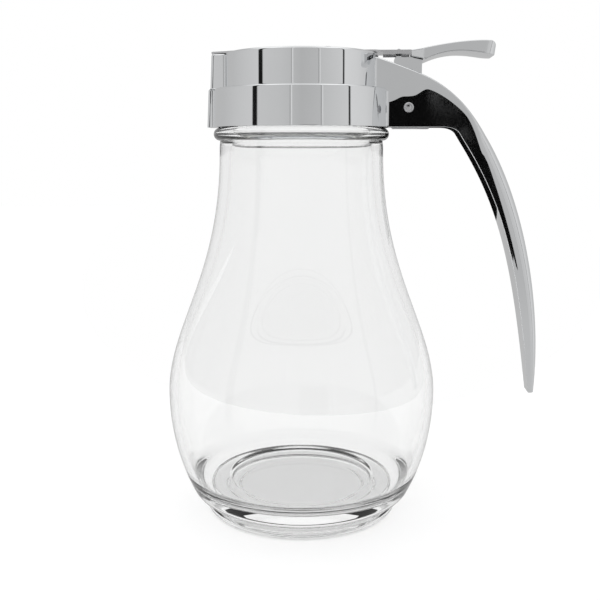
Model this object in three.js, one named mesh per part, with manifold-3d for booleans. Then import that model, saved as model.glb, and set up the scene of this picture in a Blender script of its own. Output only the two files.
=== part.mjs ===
// Thumb-lever syrup dispenser: a teardrop glass jar with a die-cast screw top. A sprung thumb lever in the handle's
// root pulls back a sliding gate that covers the pour spout.
//
// Millimetres, +Z up. The origin is on the jar's axis, on the table. The handle points to +X, the spout to -X.

import * as THREE from 'three';
import { mergeVertices } from 'three/addons/utils/BufferGeometryUtils.js';
import Module from 'manifold-3d';

const wasm = await Module();
wasm.setup();

// ---------------------------------------------------------------------------------------------------------------
// Driving dimensions
// ---------------------------------------------------------------------------------------------------------------

const ROUND = 48; // sides of a large turned surface
const SMALL_ROUND = 24; // sides of pins, screws and their holes
const CUT = 1; // how far a cutting tool runs past the face that it opens

const gap = {
  touching: 0.3, // between pieces that rest on each other
  pin: 0.1, // round the pivot pin, in every hole it turns or sits in
  slidePlay: 0.12, // under the gate slide
  thread: 0.4, // between a thread's crest and the other thread's root
};

const jar = {
  bulbRadius: 44.1,
  bulbZ: 40, // height of the widest level
  bulbFall: 58.3, // vertical semi-axis of the bulb's lower half
  neckRadius: 26.2,
  neckZ: 120, // where the curved shoulder becomes the neck
  bulbWall: 2.3,
  neckWall: 3.2,
  floorThickness: 9,
  floorDish: 0.8, // the floor's middle is this much deeper
  footShare: 0.7256, // foot radius over bulb radius
  footEdge: 3, // rounding between the foot's side and its underside
  footHeight: 4.4,
  grooveDepth: 1, // of the shallow ring moulded into the underside
  beadHalfHeight: 2,
  rimEdge: 1,
};

const thread = { pitch: 4, turns: 1.25, depth: 1.4, rootWidth: 2, crestWidth: 1 };

const cap = {
  skirtWall: 1.2,
  drumWall: 1.4,
  tierStep: 3.5, // from the lower tier's radius in to the upper tier's
  skirtHeight: 11.8,
  drumHeight: 10.8,
  deckThickness: 1.8,
  shoulderThickness: 1.4,
  skirtEdge: 0.6, // rounding of the lower tier's edges
  drumEdge: 1.1,
};

const spout = {
  drumRun: 4.1, // how far the tip stands out of each tier
  skirtRun: 2.05,
  baseHalf: 5.2, // half-widths where it leaves the tier and at its tip
  tipHalf: 4,
  tipEdge: 1,
  wall: 1.4,
  channelDepth: 9,
};

const handle = {
  width: 14.2,
  gripHalf: 6, // half-width half-way down, and at the tip
  tipHalf: 3.4,
  tipZ: 40.8,
  tipReach: 48, // from the front of the slot to the outer corner of the tip
  tipThickness: 2,
  edge: 0.6,
};

const slot = { halfWidth: 3.6, length: 14.8, underLength: 12, floorThickness: 1.6 };

const lever = {
  travelDeg: 20,
  earThickness: 1.3,
  padHalf: 7.4,
  padFrontHalf: 5.6,
  padReach: 26.1, // from the pivot to the end of the pad
  noseRadius: 1.3,
};

const pin = { radius: 1.2, headRadius: 2, headHeight: 0.6, flareRadius: 1.5, boreRadius: 0.9, boreDepth: 0.9 };
const plate = {
  thickness: 0.6,
  bodyHalf: 6.5,
  tailHalf: 5.6,
  flange: 0.6, // turned-down edges of the tail
  tipInset: 0.25, // how far the plate stays inside the spout's outline
  noseHoleHalf: 2.2,
};
const screw = { spacing: 16, shankRadius: 1, shoulderRadius: 1.2, headRadius: 2.3, headHeight: 1.1, length: 4.2 };
const washer = { radius: 3.1, thickness: 0.4 };
const spring = { wireRadius: 0.4, pinRoom: 0.95, turns: 3.25, upperLeg: 10, lowerLeg: 8 };
const gasketThickness = 1.2;
const coverThickness = 0.8;
const coverDrop = 0.45; // how far it stands out of the root's underside

// ---------------------------------------------------------------------------------------------------------------
// Places that follow from the sizes above
// ---------------------------------------------------------------------------------------------------------------

const footRadius = jar.footShare * jar.bulbRadius;
const beadRadius = jar.neckRadius + 1.8;
const beadZ = jar.neckZ + 4.2;
const finishRadius = jar.neckRadius - thread.depth; // root of the jar's thread
const rimZ = jar.neckZ + 15;
const mouthRadius = finishRadius - jar.neckWall;
const threadZ = jar.neckZ + 8.4;

const skirtBore = finishRadius + thread.depth + gap.thread;
const skirtRadius = skirtBore + cap.skirtWall;
const drumRadius = skirtRadius - cap.tierStep;
const drumBore = drumRadius - cap.drumWall;
const drumReach = drumRadius + spout.drumRun; // the spout's tip, from the axis
const skirtReach = skirtRadius + spout.skirtRun;
const skirtBottomZ = beadZ + jar.beadHalfHeight + 0.1;
const ledgeZ = skirtBottomZ + cap.skirtHeight; // top of the lower tier
const shoulderZ = ledgeZ - cap.shoulderThickness; // underside of the ledge
const deckZ = ledgeZ + cap.drumHeight; // top of the upper tier

const slotFrontX = skirtRadius + 0.8;
const slotRearX = slotFrontX + slot.length;
const slotUnderX = slotFrontX + slot.underLength; // rear end of the opening in the underside
const slotFloorZ = skirtBottomZ + slot.floorThickness;
// The coil fits round the pin, and the lever's ears cover the coil.
const coilRadius = pin.radius + spring.pinRoom + spring.wireRadius;
const earRadius = coilRadius + spring.wireRadius + 0.85;
const pivotX = slotFrontX + earRadius + 1.3;
const pivotZ = slotFloorZ + earRadius + 0.5;
const earFrontX = pivotX - earRadius - 0.7;
const earRearX = pivotX + 4;
const earTopZ = deckZ - 1.3;

const plateZ = deckZ + gap.slidePlay; // underside of the gate slide
const plateTailX = pivotX + 0.5;
const noseZ = plateZ + plate.thickness / 2; // level where the lever drives the slide
// The nose starts half its stroke in front of the pivot, so that it swings evenly to either side of it.
const stroke = 2 * (noseZ - pivotZ) * Math.tan(THREE.MathUtils.degToRad(lever.travelDeg) / 2);
const noseX = pivotX - stroke / 2;
const padFrontX = plateTailX + gap.touching;
const padEndX = pivotX + lever.padReach;
const tipOuterX = slotFrontX + handle.tipReach;
const coilWidth = 2 * (slot.halfWidth - gap.touching - lever.earThickness - gap.pin - spring.wireRadius) - gap.pin;
const screwX = { front: -screw.spacing / 2, rear: screw.spacing / 2 };

// ---------------------------------------------------------------------------------------------------------------
// Geometry helpers
// ---------------------------------------------------------------------------------------------------------------

// Points of an arc, its last one left out when the arc closes on itself.
function arcPoints(x, y, radius, from, to, sides) {
  const closed = Math.abs(Math.abs(to - from) - 2 * Math.PI) < 1e-9;
  const count = closed ? sides : sides + 1;
  return Array.from({ length: count }, (_, i) => {
    const angle = from + ((to - from) * i) / sides;
    return new THREE.Vector2(x + radius * Math.cos(angle), y + radius * Math.sin(angle));
  });
}

// The ends of a path's lines, and points at most one step apart along its curves.
function pathPoints(path, step) {
  const points = path.curves.flatMap((curve) => {
    const count = curve.isLineCurve ? 1 : Math.max(3, Math.ceil(curve.getLength() / step));
    return curve.getPoints(count).slice(1);
  });
  return [path.curves[0].getPoint(0), ...points];
}

function signedVolume(positions, triangles) {
  const [a, b, c] = [new THREE.Vector3(), new THREE.Vector3(), new THREE.Vector3()];
  let sum = 0;
  for (let i = 0; i < triangles.length; i += 3) {
    a.fromArray(positions, triangles[i] * 3);
    b.fromArray(positions, triangles[i + 1] * 3);
    c.fromArray(positions, triangles[i + 2] * 3);
    sum += a.dot(b.cross(c)) / 6;
  }
  return sum;
}

// A closed geometry as a manifold solid with its faces pointing out.
function solid(geometry) {
  const bare = geometry.clone();
  bare.deleteAttribute('normal');
  bare.deleteAttribute('uv');
  const merged = mergeVertices(bare, 1e-5);
  const positions = merged.attributes.position.array;
  const index = merged.index.array;
  const triangles = [];
  for (let i = 0; i < index.length; i += 3) {
    const [a, b, c] = [index[i], index[i + 1], index[i + 2]];
    if (a !== b && b !== c && c !== a) triangles.push(a, b, c);
  }
  if (signedVolume(positions, triangles) < 0) triangles.reverse();
  const mesh = new wasm.Mesh({
    numProp: 3,
    vertProperties: new Float32Array(positions),
    triVerts: new Uint32Array(triangles),
  });
  return new wasm.Manifold(mesh);
}

// A manifold solid as a named three.js mesh.
function named(name, body, material) {
  const { vertProperties, triVerts } = body.getMesh();
  const geometry = new THREE.BufferGeometry();
  geometry.setAttribute('position', new THREE.BufferAttribute(vertProperties, 3));
  geometry.setIndex(new THREE.BufferAttribute(triVerts, 1));
  const flat = geometry.toNonIndexed();
  flat.computeVertexNormals();
  const mesh = new THREE.Mesh(flat, material);
  mesh.name = name;
  return mesh;
}

// A profile of (radius, height) points turned about the Z axis.
function turned(points, sides = ROUND) {
  return solid(new THREE.LatheGeometry(points, sides).rotateX(Math.PI / 2));
}

function point(x, y) {
  return new THREE.Vector2(x, y);
}

function cylinder(radius, fromZ, toZ, sides = SMALL_ROUND) {
  return turned([point(0, fromZ), point(radius, fromZ), point(radius, toZ), point(0, toZ)], sides);
}

function ring(innerRadius, outerRadius, fromZ, toZ, sides = ROUND) {
  const corners = [point(innerRadius, fromZ), point(outerRadius, fromZ), point(outerRadius, toZ)];
  return turned([...corners, point(innerRadius, toZ), corners[0].clone()], sides);
}

function box(fromX, toX, fromY, toY, fromZ, toZ) {
  const geometry = new THREE.BoxGeometry(toX - fromX, toY - fromY, toZ - fromZ);
  return solid(geometry.translate((fromX + toX) / 2, (fromY + toY) / 2, (fromZ + toZ) / 2));
}

function extrusion(shape, depth, edge, curveSegments) {
  const bevel = edge > 0;
  return new THREE.ExtrudeGeometry(shape, {
    depth: bevel ? depth - 2 * edge : depth,
    bevelEnabled: bevel,
    bevelThickness: edge,
    bevelSize: edge,
    bevelOffset: -edge,
    bevelSegments: 2,
    curveSegments,
  }).translate(0, 0, bevel ? edge : 0);
}

// A plan outline, drawn in X and Y, raised from one height to another.
function raised(shape, fromZ, toZ, edge = 0, curveSegments = 8) {
  return solid(extrusion(shape, toZ - fromZ, edge, curveSegments).translate(0, 0, fromZ));
}

// A side outline, drawn in X and Z, of a piece that spans fromY to toY.
function sideways(shape, fromY, toY, edge = 0, curveSegments = 10) {
  return solid(extrusion(shape, toY - fromY, edge, curveSegments).rotateX(Math.PI / 2).translate(0, toY, 0));
}

// A front outline, drawn in Y and Z, of a piece that spans fromX to toX.
function lengthways(shape, fromX, toX, curveSegments = 10) {
  const turn = new THREE.Matrix4().makeBasis(
    new THREE.Vector3(0, 1, 0),
    new THREE.Vector3(0, 0, 1),
    new THREE.Vector3(1, 0, 0),
  );
  return solid(extrusion(shape, toX - fromX, 0, curveSegments).applyMatrix4(turn).translate(fromX, 0, 0));
}

// A cylinder across the handle, on the pivot's axis.
function crossCylinder(radius, fromY, toY) {
  const outline = new THREE.Shape(arcPoints(pivotX, pivotZ, radius, 0, 2 * Math.PI, SMALL_ROUND));
  return sideways(outline, fromY, toY);
}

// One helical thread ridge, faded in and out at its ends. It stands out of a wall of rootRadius, to either side.
// It begins at the given height, a number of turns round from +X.
function threadRidge(rootRadius, crestRadius, startZ, startTurn = 0) {
  const steps = Math.round(thread.turns * ROUND);
  const fadeSteps = ROUND / 8;
  const buried = rootRadius - Math.sign(crestRadius - rootRadius) * 0.5;
  const positions = [];
  const triangles = [];
  for (let i = 0; i <= steps; i++) {
    const angle = (i / ROUND + startTurn) * 2 * Math.PI;
    const z = startZ + (thread.pitch * i) / ROUND;
    const fade = Math.max(0.1, Math.min(1, i / fadeSteps, (steps - i) / fadeSteps));
    const crest = rootRadius + (crestRadius - rootRadius) * fade;
    const section = [
      [buried, z - thread.rootWidth / 2],
      [crest, z - thread.crestWidth / 2],
      [crest, z + thread.crestWidth / 2],
      [buried, z + thread.rootWidth / 2],
    ];
    for (const [radius, height] of section) {
      positions.push(radius * Math.cos(angle), radius * Math.sin(angle), height);
    }
    if (i === steps) break;
    for (let side = 0; side < 4; side++) {
      const a = i * 4 + side;
      const b = i * 4 + ((side + 1) % 4);
      triangles.push(a, a + 4, b, b, a + 4, b + 4);
    }
  }
  const last = steps * 4;
  triangles.push(0, 1, 2, 0, 2, 3, last, last + 2, last + 1, last, last + 3, last + 2);
  const geometry = new THREE.BufferGeometry();
  geometry.setAttribute('position', new THREE.Float32BufferAttribute(positions, 3));
  geometry.setIndex(triangles);
  return solid(geometry);
}

// ---------------------------------------------------------------------------------------------------------------
// Materials
// ---------------------------------------------------------------------------------------------------------------

const glass = new THREE.MeshStandardMaterial({
  color: 0xf2f5f4,
  roughness: 0.04,
  metalness: 0,
  transparent: true,
  opacity: 0.35,
});
const chrome = new THREE.MeshStandardMaterial({ color: 0xd6d8da, roughness: 0.06, metalness: 1 });
const steel = new THREE.MeshStandardMaterial({ color: 0xb9bbbd, roughness: 0.25, metalness: 1 });
const springSteel = new THREE.MeshStandardMaterial({ color: 0x8f9296, roughness: 0.3, metalness: 1 });
const rubber = new THREE.MeshStandardMaterial({ color: 0xe8e6df, roughness: 0.7, metalness: 0 });

// ---------------------------------------------------------------------------------------------------------------
// Jar and gasket
// ---------------------------------------------------------------------------------------------------------------

// Foot, bulb, shoulder, bead and threaded neck, then back down the inside to the thick floor.
function jarProfile() {
  const path = new THREE.Path();
  const { footEdge, bulbRadius, bulbZ, bulbFall, neckRadius, neckZ, beadHalfHeight, grooveDepth, rimEdge } = jar;
  const grooveInner = footRadius - 11;
  const grooveOuter = footRadius - 6;
  const footFlat = footRadius - footEdge;
  path.moveTo(0, 0);
  path.lineTo(grooveInner, 0);
  path.lineTo(grooveInner + 0.6, grooveDepth);
  path.lineTo(grooveOuter - 0.6, grooveDepth);
  path.lineTo(grooveOuter, 0);
  path.lineTo(footFlat, 0);
  path.quadraticCurveTo(footRadius, 0, footRadius, footEdge);
  path.lineTo(footRadius - 0.6, jar.footHeight);

  // The bulb's lower half is an ellipse, met just above the foot.
  const meetZ = jar.footHeight + 3.6;
  const meetAngle = Math.asin((meetZ - bulbZ) / bulbFall);
  const meetRadius = bulbRadius * Math.cos(meetAngle);
  path.quadraticCurveTo(meetRadius - 1.5, jar.footHeight + 0.5, meetRadius, meetZ);
  path.absellipse(0, bulbZ, bulbRadius, bulbFall, meetAngle, 0, false);
  const shoulderLow = bulbZ + 0.28 * (neckZ - bulbZ);
  const shoulderHigh = bulbZ + 0.49 * (neckZ - bulbZ);
  path.bezierCurveTo(bulbRadius, shoulderLow, neckRadius, shoulderHigh, neckRadius, neckZ);

  path.lineTo(neckRadius, beadZ - beadHalfHeight);
  path.quadraticCurveTo(beadRadius, beadZ - beadHalfHeight, beadRadius, beadZ);
  path.quadraticCurveTo(beadRadius, beadZ + beadHalfHeight, neckRadius, beadZ + beadHalfHeight);
  path.lineTo(finishRadius, beadZ + beadHalfHeight + 0.5);
  path.lineTo(finishRadius, rimZ - rimEdge);
  path.quadraticCurveTo(finishRadius, rimZ, finishRadius - rimEdge, rimZ);
  path.lineTo(mouthRadius + rimEdge, rimZ);
  path.quadraticCurveTo(mouthRadius, rimZ, mouthRadius, rimZ - rimEdge);

  const innerNeck = neckRadius - jar.neckWall;
  const innerBulb = bulbRadius - jar.bulbWall;
  path.lineTo(mouthRadius, beadZ);
  path.lineTo(innerNeck, neckZ - 2);
  path.bezierCurveTo(innerNeck, shoulderHigh, innerBulb, shoulderLow, innerBulb, bulbZ);
  const floorEdgeZ = jar.floorThickness + 5;
  const innerFall = bulbFall - jar.bulbWall;
  const floorAngle = Math.asin((floorEdgeZ - bulbZ) / innerFall);
  path.absellipse(0, bulbZ, innerBulb, innerFall, 0, floorAngle, true);
  const floorEdgeRadius = innerBulb * Math.cos(floorAngle);
  const floorRadius = footRadius - 5;
  path.quadraticCurveTo(floorEdgeRadius - 2.6, jar.floorThickness, floorRadius, jar.floorThickness);
  path.lineTo(floorRadius - jar.floorDish, jar.floorThickness - jar.floorDish);
  path.lineTo(0, jar.floorThickness - jar.floorDish);
  return pathPoints(path, 8);
}

function glassJar() {
  const body = turned(jarProfile()).add(threadRidge(finishRadius, jar.neckRadius, threadZ));
  return named('glass_jar', body, glass);
}

function sealingGasket() {
  const bottom = rimZ + gap.touching;
  const body = ring(mouthRadius, skirtBore - 0.5, bottom, bottom + gasketThickness);
  return named('sealing_gasket', body, rubber);
}

// ---------------------------------------------------------------------------------------------------------------
// Pourer cap: two round tiers with the spout, the handle root and the handle in one casting
// ---------------------------------------------------------------------------------------------------------------

// A circle with the tapering spout standing out of it at -X.
function spoutOutline(radius, reach) {
  const { baseHalf, tipHalf, tipEdge } = spout;
  const baseAngle = Math.asin(baseHalf / radius);
  return new THREE.Shape([
    ...arcPoints(0, 0, radius, -Math.PI + baseAngle, Math.PI - baseAngle, ROUND),
    point(-reach + tipEdge, tipHalf),
    point(-reach, tipHalf - tipEdge),
    point(-reach, -tipHalf + tipEdge),
    point(-reach + tipEdge, -tipHalf),
  ]);
}

function tiers() {
  const skirt = raised(spoutOutline(skirtRadius, skirtReach), skirtBottomZ, ledgeZ, cap.skirtEdge);
  const drum = raised(spoutOutline(drumRadius, drumReach), ledgeZ - cap.drumEdge, deckZ, cap.drumEdge);
  return skirt.add(drum);
}

// The handle from the side: sloping cheeks, the long spine, the blade's tip and the finger side.
function handleOutline() {
  const shape = new THREE.Shape();
  const startX = drumRadius - 4;
  const kneeX = slotFrontX + 8.7; // where the sloping top turns into the spine
  const kneeZ = deckZ - 6.5;
  const palmX = slotRearX + 7.4; // where the underside turns down into the finger side
  const palmZ = skirtBottomZ - 4.1;
  const { tipZ, tipThickness } = handle;
  shape.moveTo(startX, skirtBottomZ);
  shape.lineTo(startX, deckZ - 0.5);
  shape.quadraticCurveTo(kneeX - 9.8, kneeZ + 3.95, kneeX, kneeZ);
  shape.bezierCurveTo(kneeX + 29.4, kneeZ - 11.8, tipOuterX + 2.2, tipZ + 35, tipOuterX, tipZ);
  shape.lineTo(tipOuterX - tipThickness, tipZ);
  shape.bezierCurveTo(tipOuterX - 7.2, tipZ + 41.2, palmX + 13.9, palmZ - 21.1, palmX, palmZ);
  shape.quadraticCurveTo(palmX - 2.5, skirtBottomZ, palmX - 6.2, skirtBottomZ);
  return shape;
}

// The handle from the front: full width at the root, narrowing to the tip.
function handleFront() {
  const shape = new THREE.Shape();
  const half = handle.width / 2;
  const shoulder = skirtBottomZ - 8; // the narrowing begins here
  const middle = (shoulder + handle.tipZ) / 2;
  shape.moveTo(half, deckZ + CUT);
  shape.lineTo(half, shoulder);
  shape.quadraticCurveTo(handle.gripHalf + 0.4, middle, handle.tipHalf, handle.tipZ - CUT);
  shape.lineTo(-handle.tipHalf, handle.tipZ - CUT);
  shape.quadraticCurveTo(-handle.gripHalf - 0.4, middle, -half, shoulder);
  shape.lineTo(-half, deckZ + CUT);
  return shape;
}

function handleArm() {
  const half = handle.width / 2;
  const side = sideways(handleOutline(), -half, half, handle.edge, 16);
  return side.intersect(lengthways(handleFront(), 0, tipOuterX + 10));
}

// The hollow inside both tiers, open at the bottom.
function cavity() {
  return turned([
    point(0, skirtBottomZ - CUT),
    point(skirtBore, skirtBottomZ - CUT),
    point(skirtBore, shoulderZ),
    point(drumBore, shoulderZ),
    point(drumBore, deckZ - cap.deckThickness),
    point(0, deckZ - cap.deckThickness),
  ]);
}

// The pour port: an opening in the deck that leads from the hollow into the spout.
function pourPort() {
  const baseHalf = spout.baseHalf - spout.wall;
  const tipHalf = spout.tipHalf - spout.wall * 0.6;
  const tipX = -drumReach + spout.wall;
  const innerX = -drumBore + 2.1;
  const outline = new THREE.Shape([
    point(innerX, -baseHalf),
    point(innerX, baseHalf),
    point(tipX + 2, baseHalf - 0.6),
    point(tipX, tipHalf),
    point(tipX, -tipHalf),
    point(tipX + 2, -baseHalf + 0.6),
  ]);
  return raised(outline, deckZ - spout.channelDepth, deckZ + CUT);
}

// The slot between the cheeks, open on top and, in front of the spring's floor, underneath.
function leverSlot() {
  const half = slot.halfWidth;
  const above = box(slotFrontX, slotRearX, -half, half, slotFloorZ, deckZ + CUT);
  const under = box(slotFrontX, slotUnderX, -half, half, skirtBottomZ - CUT, slotFloorZ + CUT);
  return above.add(under);
}

function screwBoss(x) {
  const top = deckZ - cap.deckThickness;
  return cylinder(screw.shankRadius + 2, top - 2.6, top + 0.5).translate([x, 0, 0]);
}

function screwHole(x) {
  return cylinder(screw.shankRadius + 0.15, deckZ - screw.length - 1.5, deckZ + CUT).translate([x, 0, 0]);
}

function pourerCap() {
  const half = handle.width / 2;
  const crest = skirtBore - thread.depth + gap.thread / 2;
  // The cap's ridge runs half a pitch below the jar's, so each lies in the other's groove. It begins a little
  // further round, where the ridge clears the skirt's lower edge.
  const startTurn = 0.45;
  const capThreadZ = threadZ + (startTurn - 0.5) * thread.pitch;
  let body = tiers().add(handleArm());
  body = body.subtract(cavity());
  body = body.add(threadRidge(skirtBore, crest, capThreadZ, startTurn));
  for (const x of Object.values(screwX)) {
    body = body.add(screwBoss(x)).subtract(screwHole(x));
  }
  body = body.subtract(pourPort()).subtract(leverSlot());
  body = body.subtract(crossCylinder(pin.radius + gap.pin, -half - CUT, half + CUT));
  return named('pourer_cap', body, chrome);
}

// ---------------------------------------------------------------------------------------------------------------
// Gate slide, its screws and washers
// ---------------------------------------------------------------------------------------------------------------

// The long hole that lets the plate slide past a screw.
function screwSlot(x) {
  const half = screw.shoulderRadius + gap.touching;
  const rear = arcPoints(x, 0, half, -Math.PI / 2, Math.PI / 2, 8);
  const front = arcPoints(x - stroke, 0, half, Math.PI / 2, (3 * Math.PI) / 2, 8);
  return raised(new THREE.Shape([...rear, ...front]), plateZ - CUT, plateZ + plate.thickness + CUT);
}

// A thin plate from the spout's tip to a narrower tail above the cheeks, with a long slot for each screw and a hole
// for the lever's nose.
function gateSlide() {
  const { bodyHalf, tailHalf, flange, thickness, tipInset, noseHoleHalf } = plate;
  const baseX = -Math.sqrt(drumRadius ** 2 - spout.baseHalf ** 2);
  const rearX = drumRadius + 0.5;
  const halfOutline = [
    point(-drumReach + tipInset, spout.tipHalf - spout.tipEdge),
    point(-drumReach + spout.tipEdge, spout.tipHalf - tipInset),
    point(baseX, spout.baseHalf - tipInset),
    point(baseX + 2.5, bodyHalf),
    point(rearX - 1.5, bodyHalf),
    point(rearX, tailHalf),
    point(plateTailX, tailHalf),
  ];
  const outline = new THREE.Shape([
    ...halfOutline,
    ...halfOutline.map((p) => point(p.x, -p.y)).reverse(),
  ]);
  let body = raised(outline, plateZ, plateZ + thickness);
  for (const x of Object.values(screwX)) {
    body = body.subtract(screwSlot(x));
  }
  const reach = lever.noseRadius + gap.touching;
  const above = plateZ + thickness + CUT;
  body = body.subtract(box(noseX - reach, noseX + reach, -noseHoleHalf, noseHoleHalf, plateZ - CUT, above));
  for (const side of [-1, 1]) {
    const [low, high] = [side * tailHalf, side * (tailHalf - flange)].sort((a, b) => a - b);
    body = body.add(box(rearX + 1, plateTailX, low, high, plateZ - flange, plateZ + thickness / 2));
  }
  return named('gate_slide', body, steel);
}

function guideScrew(name, x) {
  const shoulderTop = plateZ + plate.thickness + washer.thickness + 2 * gap.slidePlay;
  const headTop = shoulderTop + screw.headHeight;
  const body = turned([
    point(0, deckZ - screw.length),
    point(screw.shankRadius, deckZ - screw.length),
    point(screw.shankRadius, deckZ + gap.slidePlay),
    point(screw.shoulderRadius, deckZ + gap.slidePlay),
    point(screw.shoulderRadius, shoulderTop),
    point(screw.headRadius, shoulderTop),
    point(screw.headRadius, headTop - 0.5),
    point(screw.headRadius - 0.6, headTop),
    point(0, headTop),
  ], SMALL_ROUND);
  const driverSlot = box(-screw.headRadius - CUT, screw.headRadius + CUT, -0.35, 0.35, headTop - 0.5, headTop + CUT);
  const mesh = named(name, body.subtract(driverSlot), steel);
  mesh.position.x = x;
  return mesh;
}

function guideWasher(name, x) {
  const bottom = plateZ + plate.thickness + gap.slidePlay;
  const bore = screw.shoulderRadius + gap.pin;
  const mesh = named(name, ring(bore, washer.radius, bottom, bottom + washer.thickness, SMALL_ROUND), steel);
  mesh.position.x = x;
  return mesh;
}

// ---------------------------------------------------------------------------------------------------------------
// Thumb lever, pivot pin, return spring and cover
// ---------------------------------------------------------------------------------------------------------------

const leverHalf = slot.halfWidth - gap.touching;

// One of the lever's two ears, round the pivot and up to the pad.
function earOutline() {
  return new THREE.Shape([
    ...arcPoints(pivotX, pivotZ, earRadius, Math.PI, 2 * Math.PI, SMALL_ROUND / 2),
    point(earRearX, pivotZ + 3),
    point(earRearX, earTopZ - 1),
    point(earRearX + 1.5, earTopZ + 0.7),
    point(earFrontX + 6, earTopZ + 0.7),
    point(earFrontX + 5, earTopZ),
    point(earFrontX, earTopZ),
    point(earFrontX, pivotZ + 4),
  ]);
}

// The pad from the side: it rises off the web, arches above the handle and thickens towards its square end.
function padOutline() {
  const topZ = plateZ + plate.thickness + 0.2;
  const shape = new THREE.Shape();
  shape.moveTo(padFrontX, topZ);
  shape.lineTo(padFrontX + 3.2, topZ + 0.3);
  shape.bezierCurveTo(padFrontX + 9, topZ + 1.5, padEndX - 9, topZ + 2.7, padEndX - 2.5, topZ + 2.5);
  shape.quadraticCurveTo(padEndX - 0.4, topZ + 2.4, padEndX - 0.3, topZ + 1);
  shape.lineTo(padEndX, topZ - 2);
  shape.lineTo(padEndX - 0.7, topZ - 2);
  shape.bezierCurveTo(padEndX - 4, topZ - 1.6, padEndX - 7, topZ - 0.75, padEndX - 11.3, topZ - 0.75);
  shape.bezierCurveTo(padEndX - 15, topZ - 0.75, padEndX - 18.5, topZ - 2, earRearX + 1.5, topZ - 3);
  shape.lineTo(padFrontX, topZ - 2);
  return shape;
}

// The pad from above: a little narrower where it meets the slide, with a rounded end.
function padPlan() {
  const { padHalf, padFrontHalf } = lever;
  const corner = 3.5;
  const endX = padEndX + 0.2;
  return new THREE.Shape([
    point(padFrontX, -padFrontHalf),
    point(padFrontX + 3.5, -padHalf),
    ...arcPoints(endX - corner, -padHalf + corner, corner, -Math.PI / 2, 0, 6),
    ...arcPoints(endX - corner, padHalf - corner, corner, 0, Math.PI / 2, 6),
    point(padFrontX + 3.5, padHalf),
    point(padFrontX, padFrontHalf),
  ]);
}

// The nose that reaches up through the slide: a round edge on a narrower neck.
function nose() {
  const half = 1.8;
  const tip = new THREE.Shape(arcPoints(noseX, noseZ, lever.noseRadius, 0, 2 * Math.PI, 16));
  const neckHalf = lever.noseRadius * 0.6;
  return sideways(tip, -half, half).add(box(noseX - neckHalf, noseX + neckHalf, -half, half, earTopZ - CUT, noseZ));
}

function thumbLever() {
  const { earThickness, padHalf } = lever;
  const inner = leverHalf - earThickness;
  const ears = [-leverHalf, inner].map((y) => sideways(earOutline(), y, y + earThickness));
  const webHalf = inner + 0.5;
  const frontWall = box(earFrontX, earFrontX + earThickness, -webHalf, webHalf, pivotZ + 4, earTopZ);
  const topBridge = box(earFrontX, earRearX, -webHalf, webHalf, earTopZ - 1.6, earTopZ);
  const pad = sideways(padOutline(), -padHalf, padHalf, 0.5, 8).intersect(raised(padPlan(), earTopZ - 4, earTopZ + 8));
  const body = ears[0].add(ears[1]).add(frontWall).add(topBridge).add(nose()).add(pad)
    .subtract(crossCylinder(pin.radius + gap.pin, -leverHalf - CUT, leverHalf + CUT));
  return named('thumb_lever', body, chrome);
}

// A tubular rivet: a domed head behind, a flared rim with a blind bore in front.
function pivotPin() {
  const faceY = handle.width / 2 + gap.touching / 2;
  const body = turned([
    point(0, -faceY - pin.headHeight),
    point(pin.headRadius - 0.5, -faceY - pin.headHeight),
    point(pin.headRadius, -faceY - pin.headHeight / 2),
    point(pin.headRadius, -faceY),
    point(pin.radius, -faceY),
    point(pin.radius, faceY),
    point(pin.flareRadius, faceY),
    point(pin.flareRadius - 0.2, faceY + pin.headHeight),
    point(pin.boreRadius, faceY + pin.headHeight),
    point(pin.boreRadius, faceY - pin.boreDepth),
    point(0, faceY - pin.boreDepth),
  ], SMALL_ROUND);
  const mesh = named('pivot_pin', body, steel);
  mesh.rotation.x = Math.PI / 2;
  mesh.position.set(pivotX, 0, pivotZ);
  return mesh;
}

// Down the upper leg, round the coil, out along the lower leg.
class TorsionSpringCurve extends THREE.Curve {
  getPoint(t) {
    const { turns, upperLeg, lowerLeg } = spring;
    const coilLength = 2 * Math.PI * coilRadius * turns;
    const along = t * (upperLeg + coilLength + lowerLeg);
    if (along < upperLeg) {
      return new THREE.Vector3(pivotX - coilRadius, -coilWidth / 2, pivotZ + upperLeg - along);
    }
    if (along < upperLeg + coilLength) {
      const share = (along - upperLeg) / coilLength;
      const angle = Math.PI + share * turns * 2 * Math.PI;
      const x = pivotX + coilRadius * Math.cos(angle);
      const z = pivotZ + coilRadius * Math.sin(angle);
      return new THREE.Vector3(x, (share - 0.5) * coilWidth, z);
    }
    const beyond = along - upperLeg - coilLength;
    return new THREE.Vector3(pivotX + beyond, coilWidth / 2, pivotZ - coilRadius - 0.06 * beyond);
  }
}

function returnSpring() {
  const wire = new THREE.Shape(arcPoints(0, 0, spring.wireRadius, 0, 2 * Math.PI, 8));
  const geometry = new THREE.ExtrudeGeometry(wire, { steps: 80, extrudePath: new TorsionSpringCurve() });
  return named('return_spring', solid(geometry), springSteel);
}

// Closes the opening in the underside of the root, below the spring.
function springCover() {
  const half = slot.halfWidth - gap.touching;
  const bottom = skirtBottomZ - coverDrop;
  const fromX = slotFrontX + gap.touching;
  const toX = slotUnderX - gap.touching;
  return named('spring_cover', box(fromX, toX, -half, half, bottom, bottom + coverThickness), steel);
}

// ---------------------------------------------------------------------------------------------------------------
// Assembly
// ---------------------------------------------------------------------------------------------------------------

const gate = new THREE.Group();
gate.add(gateSlide());
for (const [place, x] of Object.entries(screwX)) {
  gate.add(guideScrew(`guide_screw_${place}`, x), guideWasher(`guide_washer_${place}`, x));
}

const trigger = new THREE.Group();
trigger.add(thumbLever(), pivotPin(), returnSpring(), springCover());

const dispenser = new THREE.Group();
dispenser.add(glassJar(), sealingGasket(), pourerCap(), gate, trigger);

export default dispenser;
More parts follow.
